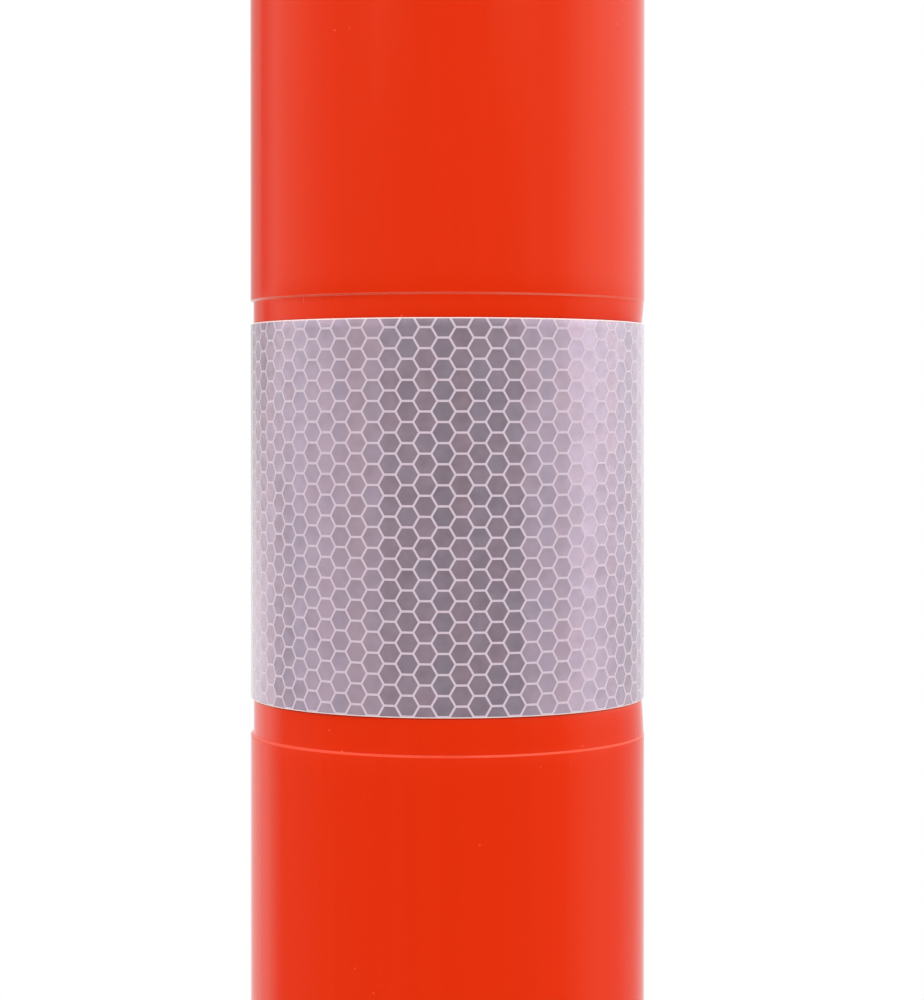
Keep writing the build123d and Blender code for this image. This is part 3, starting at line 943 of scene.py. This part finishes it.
class World:
    """A node world under construction."""

    def __init__(self):
        world = bpy.data.worlds.new("studio")
        bpy.context.scene.world = world
        world.use_nodes = True
        self.nodes, self.links = world.node_tree.nodes, world.node_tree.links
        self.nodes.clear()

    def maths(self, operation, *values):
        """One operation on values or sockets."""
        node = self.nodes.new("ShaderNodeMath")
        node.operation = operation
        for value, socket in zip(values, node.inputs):
            if isinstance(value, bpy.types.NodeSocket):
                self.links.new(value, socket)
            else:
                socket.default_value = value
        return node.outputs[0]

    def fit(self, value, low, high):
        """Smooth step of a value from 0 to 1."""
        node = self.nodes.new("ShaderNodeMapRange")
        node.interpolation_type = "SMOOTHSTEP"
        self.links.new(value, node.inputs["Value"])
        node.inputs["From Min"].default_value = low
        node.inputs["From Max"].default_value = high
        return node.outputs["Result"]

    def ramp(self, position, stops):
        """Grey level along a list of (degrees, level) stops."""
        node = self.nodes.new("ShaderNodeValToRGB")
        self.links.new(position, node.inputs["Fac"])
        elements = node.color_ramp.elements
        for index, (degrees, level) in enumerate(stops):
            place = degrees / 360 + 0.5
            if index < 2:
                stop = elements[index]
                stop.position = place
            else:
                stop = elements.new(place)
            stop.color = (level, level, level, 1)
        return node.outputs["Color"]

    def mix(self, factor, first, second):
        """Mixes two colours, or a colour and a grey level."""
        node = self.nodes.new("ShaderNodeMix")
        node.data_type = "RGBA"
        self.links.new(factor, node.inputs[0])
        for value, socket in ((first, node.inputs[6]), (second, node.inputs[7])):
            if isinstance(value, bpy.types.NodeSocket):
                self.links.new(value, socket)
            else:
                socket.default_value = (value, value, value, 1)
        return node.outputs[2]


def make_world():
    """White backdrop for the camera; for everything else, a light tent that is dim on the camera's side."""
    world = World()
    place = world.nodes.new("ShaderNodeTexCoord")
    split = world.nodes.new("ShaderNodeSeparateXYZ")
    world.links.new(place.outputs["Generated"], split.inputs["Vector"])
    east, north, up = split.outputs
    azimuth = world.maths("ARCTAN2", east, world.maths("MULTIPLY", north, -1.0))
    position = world.maths("MULTIPLY_ADD", azimuth, 1 / (2 * math.pi), 0.5)
    below, above = world.ramp(position, TENT_BELOW), world.ramp(position, TENT_ABOVE)
    walls = world.mix(world.fit(up, -0.09, 0.04), below, above)
    inside = world.mix(world.fit(up, 0.55, 0.92), walls, OVERHEAD_LIGHT)
    tent = world.nodes.new("ShaderNodeBackground")
    world.links.new(inside, tent.inputs["Color"])
    backdrop = world.nodes.new("ShaderNodeBackground")
    backdrop.inputs["Color"].default_value = (1, 1, 1, 1)
    rays = world.nodes.new("ShaderNodeLightPath")
    mix = world.nodes.new("ShaderNodeMixShader")
    world.links.new(rays.outputs["Is Camera Ray"], mix.inputs["Fac"])
    world.links.new(tent.outputs[0], mix.inputs[1])
    world.links.new(backdrop.outputs[0], mix.inputs[2])
    output = world.nodes.new("ShaderNodeOutputWorld")
    world.links.new(mix.outputs[0], output.inputs["Surface"])


def make_softboxes():
    """Ring of square area lights, aimed at the post and left out of reflections."""
    target = Vector(SOFTBOX_TARGET)
    for number in range(SOFTBOX_COUNT):
        turn = BACK + 2 * math.pi * number / SOFTBOX_COUNT
        x, y = SOFTBOX_RING_RADIUS * math.cos(turn), SOFTBOX_RING_RADIUS * math.sin(turn)
        place = Vector((x, y, SOFTBOX_RING_HEIGHT))
        name = f"softbox_{number + 1}"
        light = bpy.data.lights.new(name, "AREA")
        light.shape = "SQUARE"
        light.size = SOFTBOX_SIDE
        light.energy = SOFTBOX_RADIANCE * math.pi * SOFTBOX_SIDE * SOFTBOX_SIDE
        box = bpy.data.objects.new(name, light)
        bpy.context.scene.collection.objects.link(box)
        box.location = place
        box.rotation_euler = (target - place).to_track_quat("-Z", "Y").to_euler()
        box.visible_glossy = False


def make_floor():
    """Pale floor disc that fades into the white backdrop."""
    mesh = bpy.data.meshes.new("floor")
    bm = bmesh.new()
    bmesh.ops.create_circle(bm, cap_ends=True, segments=FLOOR_SEGMENTS, radius=FLOOR_RADIUS)
    bm.to_mesh(mesh)
    bm.free()
    floor = new_object("floor", mesh)
    look = Look("floor_pale")
    distance = look.add("ShaderNodeVectorMath", operation="LENGTH")
    look.connect(look.place, distance.inputs[0])
    alpha = look.fit(distance.outputs["Value"], FLOOR_FADE_START, FLOOR_RADIUS * 0.98, 1.0, 0.0)
    look.set(base_color=colour(FLOOR_GREY), roughness=0.6, alpha=alpha)
    mesh.materials.append(look.material)


def make_camera():
    """Camera in front of the middle band."""
    camera = bpy.data.cameras.new("camera")
    camera.lens = LENS_MM
    camera.sensor_width = 36
    camera.shift_x = CAMERA_SHIFT_X
    camera.shift_y = CAMERA_SHIFT_Y
    camera.clip_start = 0.02
    camera.clip_end = 50
    camera.dof.use_dof = False
    stand = bpy.data.objects.new("camera", camera)
    bpy.context.scene.collection.objects.link(stand)
    stand.location = (0, -CAMERA_DISTANCE, BAND_HIGH.z - EYE_BELOW_BAND_TOP)
    stand.rotation_euler = (math.radians(90 + CAMERA_PITCH_DEGREES), 0, 0)
    bpy.context.scene.camera = stand


# ---------------------------------------------------------------- the scene

post_plastic = moulded_plastic()
tape = (reflective_sheeting(), film_edge_highlight())
zinc = metal("zinc_steel", ZINC, 0.22, 0.40, (1, 1, 0.2))
rivet_metal = metal("rivet_aluminium", ALUMINIUM, 0.28, 0.42, (1, 1, 1))

make_camera()
make_post_tube(post_plastic)
make_mould_mark(post_plastic)
make_top_cap(post_plastic)
for band_number, band_node in enumerate(BAND_NODES):
    make_band(band_node, tape, FIRST_BAND_SEED + band_number, PATTERN_PHASES[band_number])
make_neck_sections(satin_elastomer("neck_polyurethane", 0.04 * MM))
make_base(satin_elastomer("base_polyurethane", 0.06 * MM))
dress_cad_nodes(
    {
        "anchor_bush": zinc,
        "clamp_ring": zinc,
        "neck_screw": zinc,
        "tube_rivet": rivet_metal,
        "cap_rivet": rivet_metal,
        "stiffening_ring": hoop_nylon(),
    }
)

make_world()
make_floor()
make_softboxes()

bpy.context.scene.view_settings.view_transform = "Standard"
bpy.context.scene.cycles.use_denoising = True
